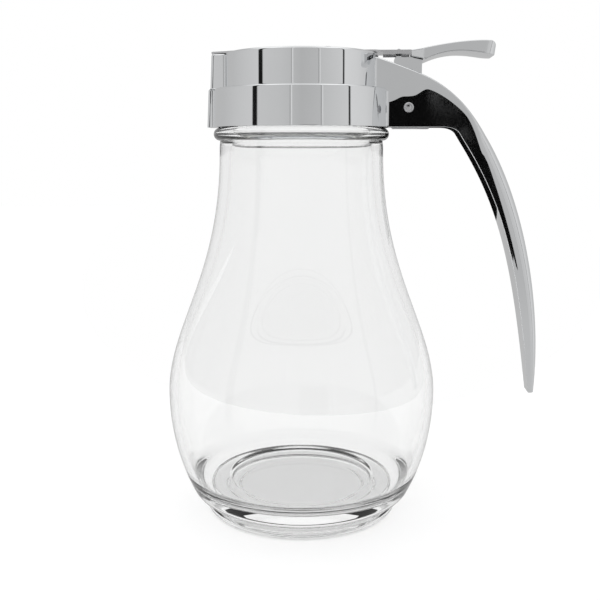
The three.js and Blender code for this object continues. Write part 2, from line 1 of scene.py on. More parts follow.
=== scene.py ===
"""A thumb-lever syrup dispenser on a pale table: glass jar, chrome pourer top, sprung lever and sliding gate.

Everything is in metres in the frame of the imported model: +Z up, the handle towards +X, the spout
towards -X, the origin on the jar's axis at the table. Shapes are drawn in millimetres and scaled by
MM when a mesh is made.
"""

import math

import bmesh
import bpy
import numpy as np
from mathutils import Matrix, Vector


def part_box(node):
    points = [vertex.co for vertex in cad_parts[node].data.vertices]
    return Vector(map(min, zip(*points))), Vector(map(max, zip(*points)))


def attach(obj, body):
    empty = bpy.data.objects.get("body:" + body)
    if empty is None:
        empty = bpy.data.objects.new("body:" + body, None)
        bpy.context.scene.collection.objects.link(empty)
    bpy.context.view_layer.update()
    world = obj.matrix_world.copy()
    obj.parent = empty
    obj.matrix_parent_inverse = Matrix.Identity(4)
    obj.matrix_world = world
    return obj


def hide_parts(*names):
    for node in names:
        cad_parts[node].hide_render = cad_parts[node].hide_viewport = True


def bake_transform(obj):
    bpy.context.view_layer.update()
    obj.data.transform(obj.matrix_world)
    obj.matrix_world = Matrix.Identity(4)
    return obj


MM = 0.001
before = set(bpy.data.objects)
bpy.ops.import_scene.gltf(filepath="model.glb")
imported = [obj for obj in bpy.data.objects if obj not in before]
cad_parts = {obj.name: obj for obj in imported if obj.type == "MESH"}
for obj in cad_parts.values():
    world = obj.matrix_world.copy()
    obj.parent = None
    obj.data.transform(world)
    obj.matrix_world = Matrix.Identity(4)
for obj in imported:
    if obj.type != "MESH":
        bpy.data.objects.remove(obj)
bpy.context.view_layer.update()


def box_mm(node):
    """Lowest and highest corner of a CAD node, in millimetres."""
    return [np.array(corner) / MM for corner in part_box(node)]


# --------------------------------------------------------------------------------------------------
# Sizes, in millimetres, read from the frame where it holds them
# --------------------------------------------------------------------------------------------------

_, jar_high = box_mm("glass_jar")
cap_low, cap_high = box_mm("pourer_cap")
_, gate_high = box_mm("gate_slide")
pin_low, pin_high = box_mm("pivot_pin")
lever_low, lever_high = box_mm("thumb_lever")
gasket_low, gasket_high = box_mm("sealing_gasket")

BULB_R = jar_high[1]
BULB_Z = 40.0
BULB_FALL = 58.3  # vertical semi-axis of the bulb's lower half
BULB_WALL = 2.3
FOOT_R = 0.7256 * BULB_R
FOOT_HEIGHT = 4.4
RIM_Z = jar_high[2]
NECK_Z = RIM_Z - 15.0
NECK_R = 26.2
NECK_WALL = 3.2
SHOULDER_LOW = BULB_Z + 0.28 * (NECK_Z - BULB_Z)
SHOULDER_HIGH = BULB_Z + 0.49 * (NECK_Z - BULB_Z)
BEAD_R = NECK_R + 1.8
BEAD_Z = NECK_Z + 4.2
BEAD_HALF = 2.0
THREAD_DEPTH = 1.4
FINISH_R = NECK_R - THREAD_DEPTH
MOUTH_R = FINISH_R - NECK_WALL
RIM_EDGE = 1.2
THREAD_PITCH = 4.0
THREAD_Z = NECK_Z + 8.4

SKIRT_BOTTOM = BEAD_Z + 2.1
SKIRT_R = cap_high[1]
SKIRT_BORE = SKIRT_R - 1.2
LEDGE_Z = SKIRT_BOTTOM + 11.8
DRUM_R = SKIRT_R - 3.5
DRUM_BORE = DRUM_R - 1.4
DECK_Z = cap_high[2]
DECK_WALL = 1.8
LEDGE_WALL = 1.4
SKIRT_REACH = -cap_low[0]
DRUM_REACH = DRUM_R + 4.1

PIVOT_X = (pin_low[0] + pin_high[0]) / 2
PIVOT_Z = (pin_low[2] + pin_high[2]) / 2
PIN_R = 1.2
PIN_CLEARANCE = 0.1
CHEEK_HALF = 7.1
SLOT_HALF = 3.6
SLOT_FRONT = SKIRT_R + 0.8
SLOT_REAR = SLOT_FRONT + 14.8
SLOT_UNDER = SLOT_FRONT + 12.0
SLOT_FLOOR = SKIRT_BOTTOM + 1.6
TIP_X = SLOT_FRONT + 48.2
TIP_Z = cap_low[2]

# --------------------------------------------------------------------------------------------------
# Outlines
# --------------------------------------------------------------------------------------------------


def bezier(points, count):
    """Points along a Bezier curve of any degree, both ends included."""
    points = np.array(points, float)
    degree = len(points) - 1
    t = np.linspace(0, 1, count)[:, None]
    total = np.zeros((count, points.shape[1]))
    for i, p in enumerate(points):
        total += math.comb(degree, i) * t**i * (1 - t) ** (degree - i) * p
    return total


def arc(centre, radius_x, radius_z, start, end, count):
    """Points along part of an ellipse, from one angle to another in degrees."""
    angles = np.radians(np.linspace(start, end, count))
    return np.stack([centre[0] + radius_x * np.cos(angles), centre[1] + radius_z * np.sin(angles)], axis=1)


def rounded(corners, count=5):
    """A line through (x, y, reach) corners; each is rounded off that far to both sides of it."""
    points = [corners[0][:2]]
    for before, here, after in zip(corners, corners[1:], corners[2:]):
        corner = np.array(here[:2], float)
        if here[2] == 0:
            points.append(corner)
            continue
        to_before = np.array(before[:2]) - corner
        to_after = np.array(after[:2]) - corner
        reach_before = min(here[2], np.linalg.norm(to_before) * 0.5)
        reach_after = min(here[2], np.linalg.norm(to_after) * 0.5)
        start = corner + to_before / np.linalg.norm(to_before) * reach_before
        end = corner + to_after / np.linalg.norm(to_after) * reach_after
        points.extend(bezier([start, corner, end], count))
    points.append(corners[-1][:2])
    return np.array(points, float)


def along(line, count):
    """Points evenly spaced along a polyline."""
    steps = np.linalg.norm(np.diff(line, axis=0), axis=1)
    travelled = np.concatenate([[0], np.cumsum(steps)])
    wanted = np.linspace(0, 1, count) * travelled[-1]
    columns = [np.interp(wanted, travelled, line[:, axis]) for axis in range(line.shape[1])]
    return np.stack(columns, axis=1)


# --------------------------------------------------------------------------------------------------
# Meshes
# --------------------------------------------------------------------------------------------------


def mesh_object(name, vertices, faces, sharp_angle=35):
    """A mesh object with its faces turned outwards, smooth except at edges sharper than the angle."""
    mesh = bpy.data.meshes.new(name)
    mesh.from_pydata([tuple(np.array(v) * MM) for v in vertices], [], faces)
    bm = bmesh.new()
    bm.from_mesh(mesh)
    bmesh.ops.remove_doubles(bm, verts=bm.verts, dist=1e-7)
    bmesh.ops.recalc_face_normals(bm, faces=bm.faces)
    bm.to_mesh(mesh)
    bm.free()
    finish_shading(mesh, sharp_angle)
    piece = bpy.data.objects.new(name, mesh)
    bpy.context.scene.collection.objects.link(piece)
    return piece


def finish_shading(mesh, sharp_angle=35):
    mesh.shade_smooth()
    mesh.set_sharp_from_angle(angle=math.radians(sharp_angle))


def skin(name, rings, sharp_angle=35):
    """A surface through rings of points, with a flat cap at each end."""
    count = len(rings[0])
    vertices = [p for ring in rings for p in ring]
    faces = []
    for i in range(len(rings) - 1):
        a, b = i * count, (i + 1) * count
        for j in range(count):
            k = (j + 1) % count
            faces.append((a + j, a + k, b + k, b + j))
    faces.append(tuple(range(count)))
    faces.append(tuple(range(len(vertices) - count, len(vertices))))
    return mesh_object(name, vertices, faces, sharp_angle)


def lathe(name, profile, sides=192, centre=(0.0, 0.0), sharp_angle=35):
    """A profile of (radius, height) turned about a vertical axis.

    It starts and ends on the axis, or is a loop.
    """
    angles = np.linspace(0, 2 * math.pi, sides, endpoint=False)
    vertices = []
    rows = []
    for radius, height in profile:
        if radius < 1e-6:
            rows.append([len(vertices)] * sides)
            vertices.append((centre[0], centre[1], height))
            continue
        rows.append(list(range(len(vertices), len(vertices) + sides)))
        for a in angles:
            x = centre[0] + radius * math.cos(a)
            y = centre[1] + radius * math.sin(a)
            vertices.append((x, y, height))
    on_axis = profile[0][0] < 1e-6 and profile[-1][0] < 1e-6
    pairs = list(zip(rows, rows[1:])) + ([] if on_axis else [(rows[-1], rows[0])])
    faces = []
    for low, high in pairs:
        for j in range(sides):
            k = (j + 1) % sides
            corners = dict.fromkeys((low[j], low[k], high[k], high[j]))
            if len(corners) > 2:
                faces.append(tuple(corners))
    return mesh_object(name, vertices, faces, sharp_angle)


def slab(name, outline, low, high, plane="XY", sharp_angle=35):
    """A plan (XY) or side (XZ) outline made solid between two levels."""
    def place(p, level):
        return (p[0], p[1], level) if plane == "XY" else (p[0], level, p[1])

    rings = [[place(p, low) for p in outline], [place(p, high) for p in outline]]
    return skin(name, rings, sharp_angle)


def add_bevel(piece, width, segments=3, angle=30):
    """Rounds a piece's sharp edges, in millimetres, without changing its own mesh."""
    modifier = piece.modifiers.new("edges", "BEVEL")
    modifier.width = width * MM
    modifier.segments = segments
    modifier.limit_method = "ANGLE"
    modifier.angle_limit = math.radians(angle)
    modifier.harden_normals = True
    piece.data.shade_smooth()


def apply_modifiers(piece):
    graph = bpy.context.evaluated_depsgraph_get()
    graph.update()
    mesh = bpy.data.meshes.new_from_object(piece.evaluated_get(graph))
    piece.modifiers.clear()
    piece.data = mesh


def boolean(piece, other, operation):
    """Cuts the other piece out of this one, or joins it on; the other one is used up."""
    modifier = piece.modifiers.new("boolean", "BOOLEAN")
    modifier.object = other
    modifier.operation = operation
    modifier.solver = "MANIFOLD"
    bpy.context.view_layer.update()
    apply_modifiers(piece)
    bpy.data.objects.remove(other)
    finish_shading(piece.data, 30)


def thread_ridge(name, root, crest, start_z, start_turn=0.0, turns=1.25, per_turn=96):
    """A helical ridge on a wall of the given radius; its foot is sunk a little into the wall."""
    side = math.copysign(1, crest - root)
    sunk, foot_half, crest_half = 0.5, 1.1, 0.55
    rings = []
    steps = int(turns * per_turn)
    for i in range(steps + 1):
        angle = (i / per_turn + start_turn) * 2 * math.pi
        z = start_z + THREAD_PITCH * i / per_turn
        fade = np.clip(min(i, steps - i) / (per_turn / 8), 0.08, 1)
        top = root + (crest - root) * fade
        section = rounded([
            (root - sunk * side, z - foot_half, 0),
            (root - 0.02 * side, z - 1.0, 0),
            (top, z - crest_half, 0.35),
            (top, z + crest_half, 0.35),
            (root - 0.02 * side, z + 1.0, 0),
            (root - sunk * side, z + foot_half, 0),
        ])
        rings.append([(r * math.cos(angle), r * math.sin(angle), h) for r, h in section])
    return skin(name, rings)


# --------------------------------------------------------------------------------------------------
# Materials
# --------------------------------------------------------------------------------------------------


def new_material(name):
    """An empty node material with its Principled shader: (material, nodes, links, shader)."""
    material = bpy.data.materials.new(name)
    material.use_nodes = True
    nodes = material.node_tree.nodes
    return material, nodes, material.node_tree.links, nodes["Principled BSDF"]


def noise(nodes, links, scale, detail=3.0, stretch=(1, 1, 1)):
    """Noise in object space; scale is in cycles per metre. Returns the value socket."""
    coordinates = nodes.new("ShaderNodeTexCoord")
    mapping = nodes.new("ShaderNodeMapping")
    mapping.inputs["Scale"].default_value = stretch
    texture = nodes.new("ShaderNodeTexNoise")
    texture.inputs["Scale"].default_value = scale
    texture.inputs["Detail"].default_value = detail
    links.new(coordinates.outputs["Object"], mapping.inputs["Vector"])
    links.new(mapping.outputs["Vector"], texture.inputs["Vector"])
    return texture.outputs["Fac"]


def remap(nodes, links, value, low, high, to_low, to_high):
    node = nodes.new("ShaderNodeMapRange")
    node.inputs["From Min"].default_value = low
    node.inputs["From Max"].default_value = high
    node.inputs["To Min"].default_value = to_low
    node.inputs["To Max"].default_value = to_high
    links.new(value, node.inputs["Value"])
    return node.outputs["Result"]


def bump(nodes, links, shader, height, depth_mm, strength=1.0):
    """Bumps the surface by the height socket, which runs from 0 to 1."""
    node = nodes.new("ShaderNodeBump")
    node.inputs["Strength"].default_value = strength
    node.inputs["Distance"].default_value = depth_mm * MM
    links.new(height, node.inputs["Height"])
    links.new(node.outputs["Normal"], shader.inputs["Normal"])


def tint(nodes, links, shader, value, dark, light):
    """Colours the surface between two tones by a value from 0 to 1."""
    mix = nodes.new("ShaderNodeMix")
    mix.data_type = "RGBA"
    mix.inputs["A"].default_value = (*dark, 1)
    mix.inputs["B"].default_value = (*light, 1)
    links.new(value, mix.inputs["Factor"])
    links.new(mix.outputs["Result"], shader.inputs["Base Color"])


def chrome_material():
    """Bright plating on a polished casting: very slightly wavy, with faint wiping haze."""
    material, nodes, links, shader = new_material("bright_plating")
    shader.inputs["Metallic"].default_value = 1.0
    haze = noise(nodes, links, 90, 6)
    links.new(remap(nodes, links, haze, 0.35, 0.75, 0.015, 0.07), shader.inputs["Roughness"])
    tint(nodes, links, shader, noise(nodes, links, 60, 4), (0.80, 0.81, 0.82), (0.86, 0.87, 0.88))
    bump(nodes, links, shader, noise(nodes, links, 130, 1.5), 0.012, 0.5)
    return material


def steel_material(name, dark, light, stretch, roughness):
    """Sheet or turned steel with fine marks that run one way."""
    material, nodes, links, shader = new_material(name)
    shader.inputs["Metallic"].default_value = 1.0
    marks = noise(nodes, links, 900, 4, stretch)
    finish = remap(nodes, links, marks, 0.3, 0.7, roughness * 0.75, roughness * 1.3)
    links.new(finish, shader.inputs["Roughness"])
    tint(nodes, links, shader, noise(nodes, links, 250, 4), dark, light)
    bump(nodes, links, shader, marks, 0.004, 0.4)
    return material


def glass_material():
    """Clear moulded glass with the faint waviness of a pressed and blown jar."""
    material, nodes, links, shader = new_material("moulded_glass")
    shader.inputs["Transmission Weight"].default_value = 1.0
    shader.inputs["IOR"].default_value = 1.5
    shader.inputs["Base Color"].default_value = (0.962, 0.964, 0.963, 1)
    smears = noise(nodes, links, 55, 5)
    links.new(remap(nodes, links, smears, 0.5, 0.8, 0.0, 0.02), shader.inputs["Roughness"])
    bump(nodes, links, shader, noise(nodes, links, 45, 1.0, (1, 1, 0.35)), 0.06, 0.5)
    return material


def rubber_material():
    """Off-white silicone, dusty on the outside."""
    material, nodes, links, shader = new_material("silicone")
    finish = remap(nodes, links, noise(nodes, links, 400, 5), 0.3, 0.7, 0.5, 0.7)
    links.new(finish, shader.inputs["Roughness"])
    tint(nodes, links, shader, noise(nodes, links, 120, 4), (0.74, 0.73, 0.69), (0.84, 0.83, 0.79))
    bump(nodes, links, shader, noise(nodes, links, 1500, 3), 0.01, 0.5)
    return material


def floor_material():
    """A matt pale sweep of board."""
    material, nodes, links, shader = new_material("pale_board")
    shader.inputs["Roughness"].default_value = 0.9
    shader.inputs["Specular IOR Level"].default_value = 0.1
    tint(nodes, links, shader, noise(nodes, links, 40, 4), (0.93, 0.93, 0.93), (0.95, 0.95, 0.95))
    return material


CHROME = chrome_material()
STEEL = steel_material("plain_steel", (0.58, 0.58, 0.59), (0.70, 0.70, 0.71), (0.05, 1, 1), 0.18)
WIRE = steel_material("drawn_wire", (0.40, 0.40, 0.42), (0.55, 0.55, 0.57), (1, 1, 1), 0.28)
GLASS = glass_material()
RUBBER = rubber_material()


def dress(piece, material, body, *nodes):
    """Gives a new piece its material and its body, and hides the CAD nodes that it stands for."""
    piece.data.materials.clear()
    piece.data.materials.append(material)
    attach(piece, body)
    if nodes:
        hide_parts(*nodes)


def dress_node(node, material, bevel):
    """Keeps a CAD node, with a better material and softened edges."""
    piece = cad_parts[node]
    piece.data.materials.clear()
    piece.data.materials.append(material)
    add_bevel(piece, bevel)


# --------------------------------------------------------------------------------------------------
# Jar
# --------------------------------------------------------------------------------------------------


def jar_outside():
    """From the middle of the underside, round the foot, up the bulb and neck, over the bead to the rim."""
    meet_z = 8.0
    meet_angle = math.degrees(math.asin((meet_z - BULB_Z) / BULB_FALL))
    meet_r = BULB_R * math.cos(math.radians(meet_angle))
    groove_inner, groove_outer, groove_depth, slant = FOOT_R - 11, FOOT_R - 6, 1, 0.6
    foot_top = (FOOT_R - 0.6, FOOT_HEIGHT)
    underside = rounded([
        (0, 0, 0),
        (groove_inner, 0, 0.4),
        (groove_inner + slant, groove_depth, 0.4),
        (groove_outer - slant, groove_depth, 0.4),
        (groove_outer, 0, 0.4),
        (FOOT_R, 0, 3),
        (FOOT_R, 3.2, 0.3),
        (*foot_top, 0.2),
    ])
    foot_neck = bezier([foot_top, (meet_r - 1.5, FOOT_HEIGHT + 0.5), (meet_r, meet_z)], 12)
    lower_bulb = arc((0, BULB_Z), BULB_R, BULB_FALL, meet_angle, 0, 40)
    shoulder = bezier([
        (BULB_R, BULB_Z),
        (BULB_R, SHOULDER_LOW),
        (NECK_R, SHOULDER_HIGH),
        (NECK_R, NECK_Z),
    ], 70)
    bead = arc((NECK_R - 0.2, BEAD_Z), BEAD_R - NECK_R + 0.2, BEAD_HALF, -90, 90, 20)
    finish = rounded([
        (NECK_R - 0.2, BEAD_Z + BEAD_HALF, 0),
        (FINISH_R, BEAD_Z + BEAD_HALF + 0.5, 0.3),
        (FINISH_R, RIM_Z, RIM_EDGE),
        (FINISH_R - 1.6, RIM_Z, 0),
    ])
    return np.concatenate([underside[:-1], foot_neck, lower_bulb[1:], shoulder[1:], bead, finish])


def jar_inside():
    """From the rim down the mouth and neck to the thick, slightly dished floor."""
    neck = NECK_R - NECK_WALL
    bulb = BULB_R - BULB_WALL
    bulb_fall = BULB_FALL - BULB_WALL
    floor_edge_z = 14.0
    floor_angle = math.degrees(math.asin((floor_edge_z - BULB_Z) / bulb_fall))
    floor_edge_r = bulb * math.cos(math.radians(floor_angle))
    lip = rounded([
        (FINISH_R - 1.6, RIM_Z, 0),
        (MOUTH_R, RIM_Z, RIM_EDGE),
        (MOUTH_R, BEAD_Z + 1, 3),
        (neck, NECK_Z - 2, 0),
    ], 8)
    shoulder = bezier([
        (neck, NECK_Z - 2),
        (neck, SHOULDER_HIGH),
        (bulb, SHOULDER_LOW),
        (bulb, BULB_Z),
    ], 70)
    lower_bulb = arc((0, BULB_Z), bulb, bulb_fall, 0, floor_angle, 32)
    step_r, step_z, middle_z, bend = FOOT_R - 7, 10.4, 9.2, 0.8
    heel = bezier([(floor_edge_r, floor_edge_z), (floor_edge_r - 2.2, step_z + 0.2), (step_r, step_z)], 16)
    floor = bezier([
        (step_r, step_z),
        (step_r - bend, step_z),
        (step_r - bend, middle_z),
        (step_r - 3 * bend, middle_z),
    ], 10)
    floor = np.concatenate([floor, [(0, middle_z)]])
    return np.concatenate([lip[1:], shoulder[1:], lower_bulb[1:], heel[1:], floor[1:]])


def glass_jar():
    profile = np.concatenate([jar_outside(), jar_inside()])
    jar = lathe("jar_glass", profile, 256, sharp_angle=60)
    boolean(jar, thread_ridge("jar_thread", FINISH_R, NECK_R, THREAD_Z), "UNION")
    finish_shading(jar.data, 60)
    # Light reaches the board through the glass; contact_shade stands in for its shadow.
    jar.visible_diffuse = False
    jar.visible_shadow = False
    dress(jar, GLASS, "jar", "glass_jar")


def sealing_gasket():
    low, high = gasket_low[2], gasket_high[2]
    outer, edge = gasket_high[0], 0.3
    start = ((MOUTH_R + outer) / 2, low, 0)
    profile = rounded([
        start,
        (outer, low, edge),
        (outer, high, edge),
        (MOUTH_R, high, edge),
        (MOUTH_R, low, edge),
        start,
    ], 4)[:-1]
    dress(lathe("gasket", profile, 128), RUBBER, "seal", "sealing_gasket")


# --------------------------------------------------------------------------------------------------
# Pourer cap: tiers and handle
# --------------------------------------------------------------------------------------------------


def smooth_min(a, b, blend):
    """The lower of two curves, with their crossing rounded off."""
    h = np.clip(0.5 + 0.5 * (b - a) / blend, 0, 1)
    return b * (1 - h) + a * h - blend * h * (1 - h)


def tier_plan(radius, reach, sides=720):
    """The plan of one tier: a circle with the tapering spout standing out of it at -X."""
    angles = np.linspace(0, 2 * math.pi, sides, endpoint=False)
    from_spout = np.abs(np.mod(angles, 2 * math.pi) - math.pi)
    taper = 0.25  # how fast the spout narrows
    neck_half, neck_x = 5.3, 23.7  # its half-width, and where it is that wide
    ahead = np.minimum(from_spout, math.radians(60))
    flank = (neck_half + neck_x * taper) / (np.sin(ahead) + taper * np.cos(ahead))
    tip = reach / np.cos(ahead)
    spout = smooth_min(flank, tip, 1.6)
    distance = -smooth_min(-spout, np.full(sides, -radius), 0.8)
    return np.stack([distance * np.cos(angles), distance * np.sin(angles)], axis=1)


def inset(plan, distance):
    """The outline moved inwards along its own normals."""
    tangent = np.roll(plan, -1, axis=0) - np.roll(plan, 1, axis=0)
    normal = np.stack([tangent[:, 1], -tangent[:, 0]], axis=1)
    normal /= np.linalg.norm(normal, axis=1)[:, None]
    return plan - normal * distance


def tiers_skin():
    """The outside of both tiers, ring by ring, then the hollow inside them."""
    sides = 720
    angles = np.linspace(0, 2 * math.pi, sides, endpoint=False)
    circle = np.stack([np.cos(angles), np.sin(angles)], axis=1)
    skirt_foot = tier_plan(SKIRT_R + 0.1, SKIRT_REACH, sides)
    skirt_top = tier_plan(SKIRT_R - 0.15, SKIRT_REACH - 0.6, sides)
    drum_foot = tier_plan(DRUM_R + 0.05, DRUM_REACH + 0.2, sides)
    drum_top = tier_plan(DRUM_R - 0.05, DRUM_REACH - 0.3, sides)
    edge, drum_edge, fillet, lip = 0.5, 0.7, 0.35, 0.15
    rings = [(circle * SKIRT_BORE, SKIRT_BOTTOM), (circle * (SKIRT_BORE + 0.3), SKIRT_BOTTOM)]

    def wall(low_plan, high_plan, low, high, low_edge, high_edge):
        for turn in np.radians(np.linspace(0, 90, 5)) if low_edge > 0 else []:
            plan = inset(low_plan, low_edge * (1 - math.sin(turn)))
            rings.append((plan, low + low_edge * (1 - math.cos(turn))))
        # The short steps at both ends keep the edges' shading out of the wall
        start, end = low + low_edge, high - high_edge
        for share in (0, 0.01, 0.25, 0.5, 0.75, 0.99, 1):
            plan = low_plan * (1 - share) + high_plan * share
            rings.append((plan, start * (1 - share) + end * share))
        for turn in np.radians(np.linspace(0, 90, 8))[1:]:
            plan = inset(high_plan, high_edge * (1 - math.cos(turn)))
            rings.append((plan, high - high_edge * (1 - math.sin(turn))))

    wall(skirt_foot, skirt_top, SKIRT_BOTTOM, LEDGE_Z, lip, edge)
    for turn in np.radians(np.linspace(0, 90, 6))[:-1]:
        plan = inset(drum_foot, -fillet * (1 - math.sin(turn)))
        rings.append((plan, LEDGE_Z + fillet * (1 - math.cos(turn))))
    wall(drum_foot, drum_top, LEDGE_Z + fillet, DECK_Z, 0, drum_edge)
    rings.append((inset(drum_top, drum_edge + 0.3), DECK_Z))
    deck_rim = [np.column_stack([plan, np.full(sides, z)]) for plan, z in rings]
    vertices = [p for ring in deck_rim for p in ring]
    top_centre = len(vertices)
    vertices.append((0, 0, DECK_Z))
    inner = [
        (DRUM_BORE, DECK_Z - DECK_WALL),
        (DRUM_BORE, LEDGE_Z - LEDGE_WALL),
        (SKIRT_BORE, LEDGE_Z - LEDGE_WALL),
    ]
    first_inner = len(vertices)
    for radius, z in inner:
        vertices.extend((radius * c, radius * s, z) for c, s in circle)
    under_centre = len(vertices)
    vertices.append((0, 0, DECK_Z - DECK_WALL))

    faces = []
    starts = [i * sides for i in range(len(deck_rim))]
    inner_starts = [first_inner + i * sides for i in range(len(inner))]
    order = [*reversed(starts), *reversed(inner_starts)]
    for a, b in zip(order, order[1:]):
        for j in range(sides):
            k = (j + 1) % sides
            faces.append((a + j, a + k, b + k, b + j))
    for j in range(sides):
        k = (j + 1) % sides
        faces.append((top_centre, starts[-1] + j, starts[-1] + k))
        faces.append((under_centre, inner_starts[0] + j, inner_starts[0] + k))
    return mesh_object("pourer_tiers", vertices, faces, 40)


def pour_port():
    """The hole in the deck that leads from the hollow into the spout."""
    base, tip = 3.8, 2.3
    end = -DRUM_REACH + 1.6
    outline = rounded([
        (-DRUM_BORE + 2.1, 0, 0),
        (-DRUM_BORE + 2.1, base, 0.8),
        (end + 2.2, base - 0.7, 1),
        (end, tip, 1),
        (end, -tip, 1),
        (end + 2.2, -base + 0.7, 1),
        (-DRUM_BORE + 2.1, -base, 0.8),
        (-DRUM_BORE + 2.1, 0, 0),
    ])[:-1]
    return slab("port", outline, DECK_Z - 9, DECK_Z + 1)


def handle_edges():
    """The handle's side view as three lines from root to tip: finger side, parting ridge and spine."""
    start_x = DRUM_R - 4
    knee = (SLOT_FRONT + 8.7, DECK_Z - 6.5)
    palm = (SLOT_REAR + 7.4, SKIRT_BOTTOM - 4.1)
    slope = bezier([(start_x, DECK_Z - 0.5), (knee[0] - 9.8, knee[1] + 3.95), knee], 40)
    spine = bezier([knee, (knee[0] + 29.4, knee[1] - 11.8), (TIP_X + 2.2, TIP_Z + 35), (TIP_X, TIP_Z)], 160)
    root = rounded([
        (start_x, SKIRT_BOTTOM, 0),
        (palm[0] - 2.5, SKIRT_BOTTOM, 4.2),
        (palm[0], palm[1], 0),
    ], 16)
    fingers = bezier([
        palm,
        (palm[0] + 13.9, palm[1] - 21.1),
        (TIP_X - 7.2, TIP_Z + 41.2),
        (TIP_X - 2, TIP_Z),
    ], 160)
    outer = np.concatenate([slope, spine[1:]])
    inner = np.concatenate([root, fingers[1:]])
    # The two lines are paired where the palm's corner faces the spine, a little further out.
    corner_inner = len(root) - 8
    corner_outer = int(np.argmin(np.abs(outer[:, 0] - (palm[0] + 1.5))))
    near, far = 110, 170  # points before and after that pair
    inner = np.concatenate([along(inner[: corner_inner + 1], near), along(inner[corner_inner:], far)[1:]])
    outer = np.concatenate([along(outer[: corner_outer + 1], near), along(outer[corner_outer:], far)[1:]])
    return inner, outer


def ridge_line():
    """The parting ridge in side view: up a low brow at the root, over its crest and down to the tip."""
    dip = (SLOT_FRONT + 2.8, SKIRT_BOTTOM + 9.3)
    crest = (SLOT_FRONT + 10.4, SKIRT_BOTTOM + 11.6)
    bend = (SLOT_FRONT + 22.8, SKIRT_BOTTOM + 3.5)
    elbow = (SLOT_FRONT + 28.4, SKIRT_BOTTOM - 9.6)
    end = (TIP_X - 2.2, TIP_Z - 0.8)
    low_brow = bezier([
        (dip[0] - 11.4, dip[1] - 3.1),
        (dip[0] - 4.4, dip[1] - 2.2),
        (dip[0] - 2, dip[1] - 1.4),
        dip,
    ], 20)
    high_brow = bezier([dip, (dip[0] + 6, dip[1] - 0.1), (crest[0] - 3.4, crest[1] - 1.7), crest], 20)
    shoulder = bezier([crest, (crest[0] + 4.2, crest[1] - 0.9), (bend[0] - 2.8, bend[1] + 3), bend], 30)
    turn = bezier([bend, (bend[0] + 2.8, bend[1] - 3.8), (elbow[0] - 2, elbow[1] + 5.5), elbow], 30)
    run = bezier([elbow, (elbow[0] + 9.4, elbow[1] - 24.7), (end[0] - 2, end[1] + 38), end], 80)
    line = [low_brow, high_brow[1:], shoulder[1:], turn[1:], run[1:]]
    return along(np.concatenate(line), 300)


def ridge_share(inner, outer):
    """How far out of the finger side the ridge runs, as a share of the handle's depth at each section."""
    ridge = ridge_line()
    shares = []
    for a, b in zip(inner, outer):
        across = (b - a) / np.linalg.norm(b - a)
        relative = ridge - a
        side = relative @ np.array([-across[1], across[0]])
        depth = relative @ across
        crossing = np.nonzero(np.diff(np.sign(side)))[0]
        i = crossing[0] if len(crossing) else len(ridge) - 2
        share = side[i] / (side[i] - side[i + 1]) if len(crossing) else 1
        shares.append((depth[i] + share * (depth[i + 1] - depth[i])) / np.linalg.norm(b - a))
    return np.clip(smooth_run(np.array(shares), 5), 0.1, 0.86)


def smooth_run(values, width):
    """A moving average that keeps the ends."""
    padded = np.pad(values, width, mode="edge")
    kernel = np.hanning(2 * width + 1)
    return np.convolve(padded, kernel / kernel.sum(), mode="valid")


def handle_skin():
    """The handle as one loft: drafted sides up to a ridge, a crowned spine and a narrow finger side."""
    inner, outer = handle_edges()
    shares = ridge_share(inner, outer)
    draft = math.tan(math.radians(5))
    root_corner = 0.45
    below_ridge = 0.12
    rings = []
    for a, b, share in zip(inner, outer, shares):
        depth = np.linalg.norm(b - a)
        across = (b - a) / depth
        z = (a[1] + b[1]) / 2
        half = half_width(z)
        # Small square corners at the root, a round back on the grip
        square = np.clip((z - 121) / 9, 0, 1)
        power = 3.2 - 1.2 * square
        ridge_depth = depth * share
        corner_across = half * (1 - square) + root_corner * square
        corner_deep = (depth - ridge_depth) * (1 - square) + root_corner * square
        sweep = np.radians(np.linspace(0, 90, 22))
        back = np.stack([
            half - corner_across * (1 - np.cos(sweep) ** (2 / power)),
            depth - corner_deep * (1 - np.sin(sweep) ** (2 / power)),
        ], axis=1)
        corner = 0.2 - 0.06 * square
        foot_half = half - draft * (ridge_depth - corner)
        flank_low = (foot_half + draft * corner, 2 * corner, 0)
        flank_high = (half - draft * below_ridge, ridge_depth - below_ridge, 0)
        front = rounded([
            (0, 0, 0),
            (foot_half, 0, corner),
            flank_low,
            flank_high,
            (half, ridge_depth, 0),
        ], 6)
        half_section = np.concatenate([front, back[1:]])
        mirrored = half_section[1:-1][::-1] * [-1, 1]
        section = np.concatenate([half_section, mirrored])
        rings.append([(a[0] + across[0] * v, y, a[1] + across[1] * v) for y, v in section])
    return skin("pourer_handle", rings, sharp_angle=50)


def half_width(z):
    """The handle's half-width at a height: full at the root, narrowing to the tip."""
    shoulder = SKIRT_BOTTOM - 8
    down = np.clip((shoulder - z) / (shoulder - TIP_Z), 0, 1)
    middle, tip = 6.4, 3.4
    return CHEEK_HALF * (1 - down) ** 2 + 2 * middle * down * (1 - down) + tip * down**2


def lever_slot_cutter(name, x_from, x_to, z_from, z_to):
    corner = 0.8
    outline = rounded([
        (x_from, 0, 0),
        (x_from, SLOT_HALF, corner),
        (x_to, SLOT_HALF, corner),
        (x_to, -SLOT_HALF, corner),
        (x_from, -SLOT_HALF, corner),
        (x_from, 0, 0),
    ])[:-1]
    return slab(name, outline, z_from, z_to)


def cross_cylinder(name, radius, low, high, sides=64):
    """A cylinder across the handle on the pivot's axis."""
    angles = np.linspace(0, 2 * math.pi, sides, endpoint=False)
    outline = np.stack([PIVOT_X + radius * np.cos(angles), PIVOT_Z + radius * np.sin(angles)], axis=1)
    return slab(name, outline, low, high, plane="XZ")


